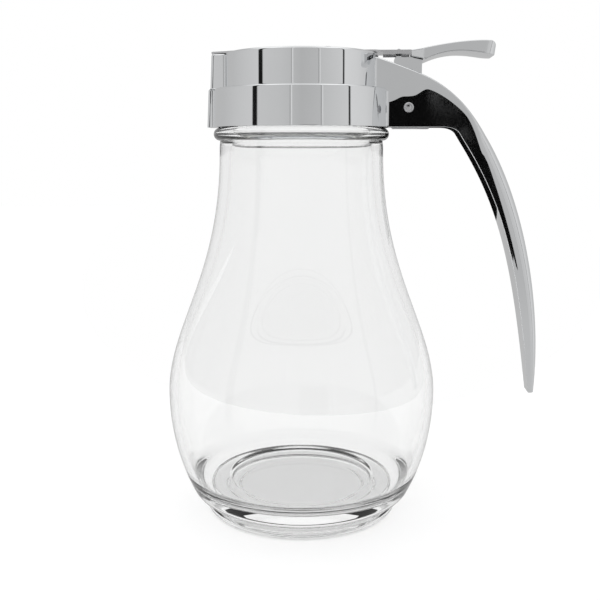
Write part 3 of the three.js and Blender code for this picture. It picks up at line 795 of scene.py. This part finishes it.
def root_fillet(radius, low, high, side, size=1.0):
    """The small cast fillet where one cheek meets a tier's round wall."""
    wall_y = CHEEK_HALF - 0.02
    centre_y = wall_y + size
    centre_x = math.sqrt((radius + size) ** 2 - centre_y**2)
    touch = np.array([centre_x, centre_y]) * radius / (radius + size)
    start = math.degrees(math.atan2(touch[1] - centre_y, touch[0] - centre_x))
    start = start + 360 if start < 0 else start
    concave = arc((centre_x, centre_y), size, size, start, 270, 8)
    outline = [*concave, (centre_x, wall_y - 1.0), (touch[0] - 1.2, touch[1] - 1.0)]
    return slab("fillet", [(x, y * side) for x, y in outline], low, high, sharp_angle=40)


def pourer_cap():
    tiers = tiers_skin()
    boolean(tiers, pour_port(), "DIFFERENCE")
    start_turn = 0.45
    ridge_z = THREAD_Z + (start_turn - 0.5) * THREAD_PITCH
    thread = thread_ridge("cap_thread", SKIRT_BORE, SKIRT_BORE - 1.2, ridge_z, start_turn)
    boolean(tiers, thread, "UNION")
    finish_shading(tiers.data, 40)
    handle = handle_skin()
    slot = lever_slot_cutter("slot", SLOT_FRONT, SLOT_REAR, SLOT_FLOOR, DECK_Z + 2)
    boolean(handle, slot, "DIFFERENCE")
    under = lever_slot_cutter("under", SLOT_FRONT, SLOT_UNDER, SKIRT_BOTTOM - 2, SLOT_FLOOR + 1)
    boolean(handle, under, "DIFFERENCE")
    boolean(handle, cross_cylinder("pin_hole", PIN_R + PIN_CLEARANCE, -9, 9), "DIFFERENCE")
    # The root passes through the tier's wall; what would stand in the hollow is cut away.
    boolean(handle, lathe("hollow", hollow_profile(), 192), "DIFFERENCE")
    finish_shading(handle.data, 35)
    dress(tiers, CHROME, "cap", "pourer_cap")
    dress(handle, CHROME, "cap", "pourer_cap")
    for side in (-1, 1):
        for place, radius, low, high in (
            ("low", SKIRT_R - 0.03, SKIRT_BOTTOM + 0.4, LEDGE_Z - 0.9),
            ("high", DRUM_R, LEDGE_Z, DECK_Z - 1.9),
        ):
            fillet = root_fillet(radius, low, high, side)
            fillet.name = f"root_fillet_{place}_{'front' if side < 0 else 'back'}"
            dress(fillet, CHROME, "cap")


def hollow_profile():
    """The hollow inside the tiers, a hair larger than it is."""
    spare = 0.05
    bottom = SKIRT_BOTTOM - 2
    ledge = LEDGE_Z - LEDGE_WALL + spare
    top = DECK_Z - DECK_WALL + spare
    return [
        (0, bottom),
        (SKIRT_BORE + spare, bottom),
        (SKIRT_BORE + spare, ledge),
        (DRUM_BORE + spare, ledge),
        (DRUM_BORE + spare, top),
        (0, top),
    ]


# --------------------------------------------------------------------------------------------------
# Gate slide with its screws and washers
# --------------------------------------------------------------------------------------------------


def guide_screw(place):
    node = f"guide_screw_{place}"
    low, high = box_mm(node)
    x = (low[0] + high[0]) / 2
    seat = high[2] - 1.1
    shank_r, shoulder_r, head_r = 1.0, 1.2, 2.3
    shoulder_z = DECK_Z + 0.12
    profile = rounded([
        (0, low[2], 0),
        (shank_r - 0.3, low[2], 0.2),
        (shank_r, low[2] + 0.5, 0.2),
        (shank_r, shoulder_z, 0),
        (shoulder_r, shoulder_z, 0),
        (shoulder_r, seat, 0),
        (head_r, seat, 0.15),
        (head_r, seat + 0.55, 0.5),
        (1.5, high[2], 0.8),
        (0, high[2], 0),
    ])
    screw = lathe(f"screw_{place}", profile, 64, (x, 0.0), 30)
    reach, half = 3, 0.35
    cross = [(x - reach, -half), (x + reach, -half), (x + reach, half), (x - reach, half)]
    driver = slab("driver", cross, high[2] - 0.5, high[2] + 1)
    boolean(screw, driver, "DIFFERENCE")
    dress(screw, STEEL, "cap", node)


def guide_washer(place):
    node = f"guide_washer_{place}"
    low, high = box_mm(node)
    x = (low[0] + high[0]) / 2
    outer = (high[0] - low[0]) / 2
    hole = 1.3
    start = ((outer + hole) / 2, low[2], 0)
    profile = rounded([
        start,
        (outer, low[2], 0.1),
        (outer, high[2], 0.15),
        (hole, high[2], 0.1),
        (hole, low[2], 0.1),
        start,
    ])[:-1]
    dress(lathe(f"washer_{place}", profile, 64, (x, 0.0), 30), STEEL, "cap", node)


def gate_plate():
    """The sliding plate keeps its CAD shape, with its sheared edges softened."""
    dress_node("gate_slide", STEEL, 0.12)


# --------------------------------------------------------------------------------------------------
# Lever, pivot and spring
# --------------------------------------------------------------------------------------------------


def lever_pad():
    """The thumb pad: it rises a little from the slide's tail to a square raised end."""
    front = gate_high[0] + 0.1
    end = lever_high[0]
    base = gate_high[2] + 0.2
    top = np.concatenate([
        bezier([(front, base), (front + 1.6, base + 0.1), (front + 3.2, base + 0.3)], 6),
        bezier([
            (front + 3.2, base + 0.3),
            (front + 9, base + 1.5),
            (end - 9, base + 2.7),
            (end - 2.2, base + 2.5),
        ], 40)[1:],
        bezier([(end - 2.2, base + 2.5), (end - 0.3, base + 2.4), (end, base + 1.2)], 16)[1:],
    ])
    under = np.concatenate([
        bezier([(front, base - 2.2), (front + 2.0, base - 2.8), (front + 4.3, base - 3.2)], 6),
        bezier([
            (front + 4.3, base - 3.2),
            (end - 18.5, base - 1.9),
            (end - 15, base - 0.85),
            (end - 11, base - 0.85),
        ], 24)[1:],
        bezier([
            (end - 11, base - 0.85),
            (end - 7, base - 0.85),
            (end - 4, base - 1.6),
            (end - 0.4, base - 2.0),
        ], 24)[1:],
    ])
    sections = 90
    top, under = along(top, sections), along(under, sections)
    rings = []
    for upper, lower in zip(top, under):
        x = (upper[0] + lower[0]) / 2
        half = pad_half_width(x, front, end)
        depth = np.linalg.norm(upper - lower)
        across = (upper - lower) / depth
        edge = min(0.45, depth * 0.3)
        crown = 0.2
        right = rounded([
            (0, 0, 0),
            (half, 0, edge * 0.6),
            (half, 0.6, 0),
            (half, depth - 2 * edge, 0),
            (half, depth - crown, edge),
            (half * 0.5, depth - crown * 0.3, 0),
            (0, depth, 0),
        ], 6)
        left = right[1:-1][::-1] * [-1, 1]
        section = np.concatenate([right, left])
        rings.append([(lower[0] + across[0] * v, y, lower[1] + across[1] * v) for y, v in section])
    return skin("lever_pad", rings, sharp_angle=45)


def pad_half_width(x, front, end):
    """Narrow at the slide, full from a few millimetres on, with rounded corners at the end."""
    full, narrow, corner = lever_high[1], 5.6, 3.4
    half = narrow + (full - narrow) * np.clip((x - front) / 3.5, 0, 1)
    over = np.clip(x - (end - corner), 0, corner)
    return half - corner + math.sqrt(max(corner**2 - over**2, 0.04))


def lever_web():
    """Two ears round the pivot, joined in front and on top; the nose reaches up through the slide."""
    ear_front, ear_rear, ear_top = PIVOT_X - 4.5, PIVOT_X + 4.0, DECK_Z - 1.3
    ear_r, outer, inner = 3.8, SLOT_HALF - 0.3, SLOT_HALF - 1.6
    foot = arc((PIVOT_X, PIVOT_Z), ear_r, ear_r, 180, 360, 24)
    outline = [
        *foot,
        *rounded([
            (PIVOT_X + ear_r, PIVOT_Z, 0),
            (ear_rear, PIVOT_Z + 3, 1),
            (ear_rear, ear_top - 1, 0.8),
            (ear_rear + 1.5, ear_top + 0.7, 0),
            (ear_front + 6, ear_top + 0.7, 0.3),
            (ear_front + 5, ear_top, 0.3),
            (ear_front, ear_top, 0.5),
            (ear_front, PIVOT_Z + 4, 1),
            (PIVOT_X - ear_r, PIVOT_Z, 0),
        ])[1:-1],
    ]
    web = slab("lever_web", outline, -outer, outer, plane="XZ")
    room_top, room_front, past = ear_top - 1.6, ear_front + 1.3, 8
    spring_room = [
        (PIVOT_X - past, PIVOT_Z - past),
        (PIVOT_X + past, PIVOT_Z - past),
        (PIVOT_X + past, room_top),
        (room_front, room_top),
        (room_front, PIVOT_Z + 4),
        (PIVOT_X - past, PIVOT_Z + 4),
    ]
    boolean(web, slab("room", spring_room, -inner, inner, plane="XZ"), "DIFFERENCE")
    boolean(web, cross_cylinder("bore", PIN_R + PIN_CLEARANCE, -9, 9), "DIFFERENCE")
    nose_x = lever_low[0] + 1.35
    neck_half, knob_half = 0.8, 1.3
    nose = rounded([
        (nose_x - neck_half, ear_top - 0.6, 0),
        (nose_x - neck_half, DECK_Z - 0.6, 0.4),
        (nose_x - knob_half, DECK_Z + 0.4, 0.7),
        (nose_x, DECK_Z + 1.75, 1.2),
        (nose_x + knob_half, DECK_Z + 0.4, 0.7),
        (nose_x + neck_half, DECK_Z - 0.6, 0.4),
        (nose_x + neck_half, ear_top - 0.6, 0),
    ])
    boolean(web, slab("nose", nose, -1.8, 1.8, plane="XZ"), "UNION")
    add_bevel(web, 0.22)
    return web


def thumb_lever():
    dress(lever_pad(), CHROME, "lever", "thumb_lever")
    dress(lever_web(), CHROME, "lever", "thumb_lever")


def pivot_pin():
    """A tubular rivet, drawn upright and then laid across the handle."""
    front, back = -pin_low[1], pin_high[1]
    head_r, head_height = 2.0, 0.6
    profile = rounded([
        (0, -back, 0),
        (head_r - 0.4, -back, 0.4),
        (head_r, -back + 0.4, 0.2),
        (head_r - 0.05, -back + head_height, 0.1),
        (PIN_R, -back + head_height, 0),
        (PIN_R, front - 0.8, 0),
        (1.55, front - 0.4, 0.2),
        (1.4, front, 0.2),
        (1.0, front, 0.2),
        (0.9, front - 0.9, 0.1),
        (0, front - 1.0, 0),
    ])
    pin = lathe("rivet", profile, 64)
    turn = Matrix.Rotation(math.radians(90), 4, "X")
    pin.data.transform(Matrix.Translation((PIVOT_X * MM, 0, PIVOT_Z * MM)) @ turn)
    dress(pin, STEEL, "cap", "pivot_pin")


def spring_line():
    """Down the upper leg, round the coil and out along the lower leg."""
    coil, turns, width, upper, lower = 2.55, 3.25, 2.9, 10.0, 8.0
    points = [(PIVOT_X - coil, -width / 2, PIVOT_Z + z) for z in np.linspace(upper, 0.5, 12)]
    for share in np.linspace(0, 1, 160):
        angle = math.pi + share * turns * 2 * math.pi
        points.append((
            PIVOT_X + coil * math.cos(angle), (share - 0.5) * width, PIVOT_Z + coil * math.sin(angle),
        ))
    for x in np.linspace(0.5, lower, 10):
        points.append((PIVOT_X + x, width / 2, PIVOT_Z - coil - 0.06 * x))
    return np.array(points)


def tube(name, line, radius, sides=12):
    """A round wire along a line of points."""
    rings = []
    normal = np.array([0.0, 1.0, 0.0])
    for i, p in enumerate(line):
        tangent = line[min(i + 1, len(line) - 1)] - line[max(i - 1, 0)]
        tangent /= np.linalg.norm(tangent)
        normal -= tangent * normal.dot(tangent)
        normal /= np.linalg.norm(normal)
        side = np.cross(tangent, normal)
        angles = np.linspace(0, 2 * math.pi, sides, endpoint=False)
        rings.append([p + radius * (math.cos(a) * normal + math.sin(a) * side) for a in angles])
    return skin(name, rings)


def return_spring():
    """A coil of drawn wire round the pivot, with an upper and a lower leg, baked in place and attached to no
    body.
    """
    wire = tube("spring_wire", spring_line(), 0.4)
    wire.data.materials.append(WIRE)
    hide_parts("return_spring")
    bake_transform(wire)


# --------------------------------------------------------------------------------------------------
# Studio
# --------------------------------------------------------------------------------------------------

CAMERA_TURN = 4.0  # degrees that the handle is turned towards the camera
CAMERA_DISTANCE = 0.278
CAMERA_HEIGHT = 0.1197
CAMERA_PITCH = 10.1


def camera():
    data = bpy.data.cameras.new("camera")
    data.sensor_width = 36
    data.lens = 51
    data.clip_start = 0.01
    view = bpy.data.objects.new("camera", data)
    turn = math.radians(CAMERA_TURN)
    away = Vector((math.sin(turn), -math.cos(turn), 0))
    right = Vector((math.cos(turn), math.sin(turn), 0))
    view.location = away * CAMERA_DISTANCE - right * 0.45 * MM + Vector((0, 0, CAMERA_HEIGHT))
    view.rotation_euler = (math.radians(90 - CAMERA_PITCH), 0, turn)
    bpy.context.scene.collection.objects.link(view)
    bpy.context.scene.camera = view


def floor():
    """A board that ends in a curve behind the jar, where the glass shows a horizon line."""
    half, drop = 1500, -0.1  # a hair below the jar, so that glass and board don't share a plane
    nearest, bow, reach = 93, 0.007, 440
    curve = [(x, min(nearest + bow * x**2, half), drop) for x in np.linspace(reach, -reach, 60)]
    front = [(-half, -half, drop), (half, -half, drop)]
    outline = [*front, (half, half, drop), *curve, (-half, half, drop)]
    board = mesh_object("floor", outline, [tuple(range(len(outline)))])
    board.data.materials.append(floor_material())
    board.visible_glossy = False


def contact_shade():
    """A faint drum, hidden from the camera, that gives the board the soft shadow of the glass."""
    radius, low, high = FOOT_R - 0.5, 0.3, 14
    drum = lathe("contact_shade", [(0, low), (radius, low), (radius, high), (0, high)], 96)
    material, _, _, shader = new_material("faint_shade")
    shader.inputs["Alpha"].default_value = 0.4
    drum.data.materials.append(material)
    drum.visible_camera = False
    drum.visible_glossy = False
    drum.visible_transmission = False


def black_card(name, corners):
    """A black card that only the metal reflects."""
    card = mesh_object(name, corners, [(0, 1, 2, 3)])
    material, _, _, shader = new_material(name)
    shader.inputs["Base Color"].default_value = (0.004, 0.004, 0.004, 1)
    shader.inputs["Roughness"].default_value = 0.9
    shader.inputs["Specular IOR Level"].default_value = 0.0
    card.data.materials.append(material)
    card.visible_camera = False
    card.visible_diffuse = False
    card.visible_transmission = False
    card.visible_shadow = False


def black_cards():
    """One below and behind the lens for the cheek, one behind the handle for its finger side."""
    front, rear = -292, 40
    black_card("front_card", [(12, front, 15), (130, front, 15), (130, front, 112), (12, front, 112)])
    black_card("rear_card", [(50, rear, 92), (66, rear, 92), (60, rear, 127), (38, rear, 127)])


def studio_light():
    """A white tent: pale panels round the horizon with dark gaps, brighter higher up, dim at the top."""
    world = bpy.data.worlds.new("tent")
    world.use_nodes = True
    bpy.context.scene.world = world
    nodes, links = world.node_tree.nodes, world.node_tree.links
    background = nodes["Background"]

    coordinates = nodes.new("ShaderNodeTexCoord")
    turn = nodes.new("ShaderNodeMapping")
    turn.vector_type = "VECTOR"
    turn.inputs["Rotation"].default_value = (0, 0, math.radians(-CAMERA_TURN))
    split = nodes.new("ShaderNodeSeparateXYZ")
    links.new(coordinates.outputs["Generated"], turn.inputs["Vector"])
    links.new(turn.outputs["Vector"], split.inputs["Vector"])

    towards = nodes.new("ShaderNodeMath")
    towards.operation = "MULTIPLY"
    towards.inputs[1].default_value = -1
    links.new(split.outputs["Y"], towards.inputs[0])
    azimuth = nodes.new("ShaderNodeMath")
    azimuth.operation = "ARCTAN2"
    links.new(split.outputs["X"], azimuth.inputs[0])
    links.new(towards.outputs[0], azimuth.inputs[1])
    share = remap(nodes, links, azimuth.outputs[0], -math.pi, math.pi, 0, 1)

    panels = grey_ramp(nodes, links, share, PANELS, lambda degrees: (degrees + 180) / 360)
    height = remap(nodes, links, split.outputs["Z"], -1, 1, 0, 1)
    dome = grey_ramp(nodes, links, height, DOME, lambda sine: (sine + 1) / 2)
    horizon = grey_ramp(nodes, links, height, HORIZON, lambda sine: (sine + 1) / 2)
    mix = nodes.new("ShaderNodeMix")
    mix.data_type = "RGBA"
    links.new(horizon, mix.inputs["Factor"])
    links.new(dome, mix.inputs["A"])
    links.new(panels, mix.inputs["B"])

    # Metal mirrors the tent, glass bends the backdrop into view and the camera sees white.
    # Everything else is lit evenly.
    path = nodes.new("ShaderNodeLightPath")
    backdrop = grey_ramp(nodes, links, share, BEHIND, lambda degrees: (degrees + 180) / 360)
    light = nodes.new("ShaderNodeRGB").outputs["Color"]
    light.default_value = (1.14, 1.14, 1.14, 1)
    for kind, seen in (
        ("Is Glossy Ray", mix.outputs["Result"]),
        ("Is Transmission Ray", backdrop),
        ("Is Camera Ray", None),
    ):
        choose = nodes.new("ShaderNodeMix")
        choose.data_type = "RGBA"
        choose.inputs["B"].default_value = (1, 1, 1, 1)
        links.new(path.outputs[kind], choose.inputs["Factor"])
        links.new(light, choose.inputs["A"])
        if seen:
            links.new(seen, choose.inputs["B"])
        light = choose.outputs["Result"]
    links.new(light, background.inputs["Color"])


# Brightness round the horizon, by degrees from the camera's own direction; the camera's left is negative.
PANELS = [
    (-180, 0.5), (-120, 0.55), (-90, 0.62), (-66, 0.66),
    (-65, 0.01), (-58.6, 0.01), (-57.6, 0.62), (-30, 0.6),
    (-14.4, 0.56), (-13.9, 0.28), (-13.3, 0.3), (-12.7, 0.85), (-11.5, 0.54), (0, 0.5),
    (24.6, 0.54), (25.2, 0.32), (25.9, 0.34), (26.5, 0.85), (27.6, 0.58), (60, 0.66),
    (62.2, 0.68), (62.8, 0.02), (64.8, 0.02), (65.5, 0.74), (90, 0.7), (120, 0.58), (180, 0.5),
]
# Brightness by the sine of the height above the horizon, where the panels end
DOME = [
    (-1, 0.5), (-0.25, 0.6), (0.0, 0.75), (0.3, 0.95),
    (0.55, 1.25), (0.94, 1.25), (0.985, 0.62), (1, 0.55),
]
# What the glass bends into view: a white backdrop, with darker flags at both sides
BEHIND = [
    (-180, 0.96), (-150, 0.96), (-125, 0.85), (-108, 0.6), (-92, 0.42), (-75, 0.5), (-60, 0.8),
    (0, 0.9),
    (60, 0.8), (75, 0.5), (92, 0.42), (108, 0.6), (125, 0.85), (150, 0.96), (180, 0.96),
]
# How much of the panels shows at each height
HORIZON = [(-0.4, 0.0), (-0.2, 1.0), (0.7, 1.0), (0.85, 0.0)]


def grey_ramp(nodes, links, value, stops, place):
    """A colour ramp of greys; place turns a stop's own measure into 0 to 1."""
    node = nodes.new("ShaderNodeValToRGB")
    ramp = node.color_ramp
    while len(ramp.elements) > 1:
        ramp.elements.remove(ramp.elements[-1])
    for i, (measure, grey) in enumerate(stops):
        element = ramp.elements[0] if i == 0 else ramp.elements.new(place(measure))
        element.position = place(measure)
        element.color = (grey, grey, grey, 1)
    links.new(value, node.inputs["Fac"])
    return node.outputs["Color"]


# --------------------------------------------------------------------------------------------------
# The whole object
# --------------------------------------------------------------------------------------------------

glass_jar()
sealing_gasket()
pourer_cap()
gate_plate()
for place in ("front", "rear"):
    guide_screw(place)
    guide_washer(place)
thumb_lever()
pivot_pin()
return_spring()
dress_node("spring_cover", STEEL, 0.1)

camera()
floor()
contact_shade()
black_cards()
studio_light()
bpy.context.scene.view_settings.view_transform = "Standard"
